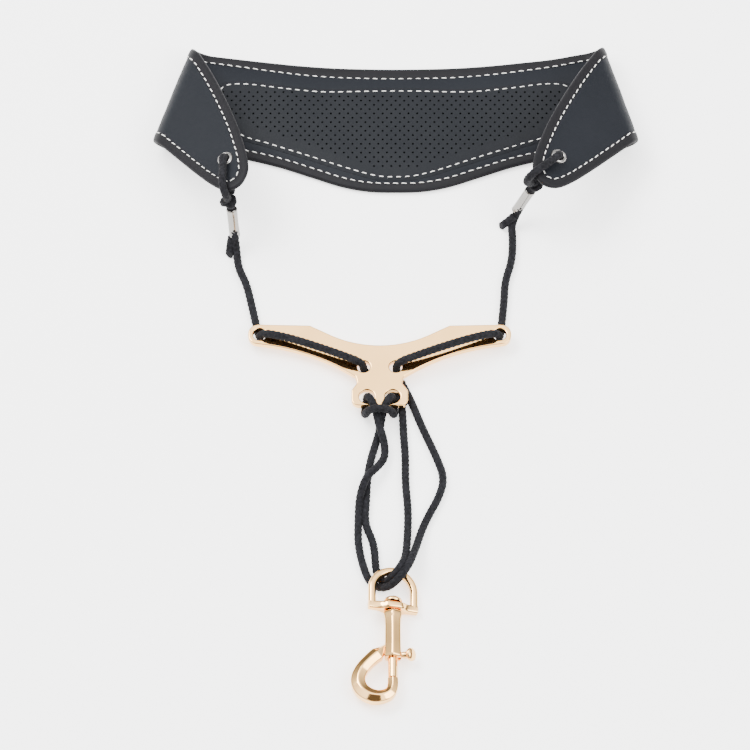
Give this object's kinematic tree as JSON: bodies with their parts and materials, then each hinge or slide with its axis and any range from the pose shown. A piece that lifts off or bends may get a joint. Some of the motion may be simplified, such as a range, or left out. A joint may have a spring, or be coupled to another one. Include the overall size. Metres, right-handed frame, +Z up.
{
  "type": "saxophone neck strap",
  "caption": "Padded neck strap laid flat, with folded collar ends, corded sliding spreader plate and swivel bolt snap for holding a wind instrument.",
  "frame": {"origin": "on the table under the middle of the strap, cords left out", "axes": "+Z up from the table, +Y from the snap towards the collar, +X to the wearer's right as drawn"},
  "size_m": [0.2201, 0.3374, 0.0435],
  "materials": {
    "leather": "satin",
    "perforated_leather": "satin",
    "binding": "satin",
    "foam": "matte",
    "thread": "matte",
    "cord": "matte",
    "nickel": "polished",
    "gold": "polished",
    "spring_steel": "satin"
  },
  "bodies": {
    "collar": {"outer_cover": "leather", "foam_core": "foam", "lining": "leather", "perforated_panel": "perforated_leather", "edge_binding": "binding", "binding_stitching": "thread", "panel_stitching": "thread", "left_eyelet": "nickel", "left_washer": "nickel", "left_knot": "cord", "left_eyelet_loop": "cord", "left_ferrule": "nickel", "left_cord_tail": "cord", "left_upper_cord": "cord", "right_eyelet": "nickel", "right_washer": "nickel", "right_knot": "cord", "right_eyelet_loop": "cord", "right_ferrule": "nickel", "right_cord_tail": "cord", "right_upper_cord": "cord"},
    "plate": {"spreader_plate": "gold", "plate_hitch": "cord", "left_plate_cord": "cord", "left_down_strand": "cord", "left_return_strand": "cord", "right_plate_cord": "cord", "right_down_strand": "cord", "right_return_strand": "cord"},
    "bight": {"left_eye_bight": "cord", "right_eye_bight": "cord"},
    "eye": {"swivel_eye": "gold"},
    "snap": {"snap_body": "gold", "swivel_rivet": "gold", "bolt_spring": "spring_steel"},
    "bolt": {"snap_bolt": "gold", "thumb_knob": "gold"}
  },
  "joints": [
    {"name": "plate_slide", "type": "slide", "parent": "collar", "child": "plate", "axis": [0, 1, 0], "range_m": [-0.03, 0.03], "deforming": ["left_upper_cord", "right_upper_cord"]},
    {"name": "bight_slide", "type": "slide", "parent": "plate", "child": "bight", "axis": [0, 1, 0], "range_m": [-0.015, 0.015], "deforming": ["left_down_strand", "left_return_strand", "right_down_strand", "right_return_strand"]},
    {"name": "eye_swing", "type": "hinge", "parent": "bight", "child": "eye", "pos_m": [-0.0013, -0.1012, 0.0049], "axis": [-1, 0, 0], "range_deg": [0, 60], "deforming": ["left_eye_bight", "right_eye_bight"]},
    {"name": "snap_swivel", "type": "hinge", "parent": "eye", "child": "snap", "pos_m": [-0.0013, -0.12, 0.0049], "axis": [0, 1, 0], "continuous": true},
    {"name": "bolt_slide", "type": "slide", "parent": "snap", "child": "bolt", "axis": [0, 1, 0], "range_m": [0, 0.009], "stiffness_N_per_m": 120, "springref_m": -0.004, "deforming": ["bolt_spring"]}
  ],
  "couplings": [
    {"joint": "bight_slide", "follows": "plate_slide", "ratio": -0.5}
  ]
}
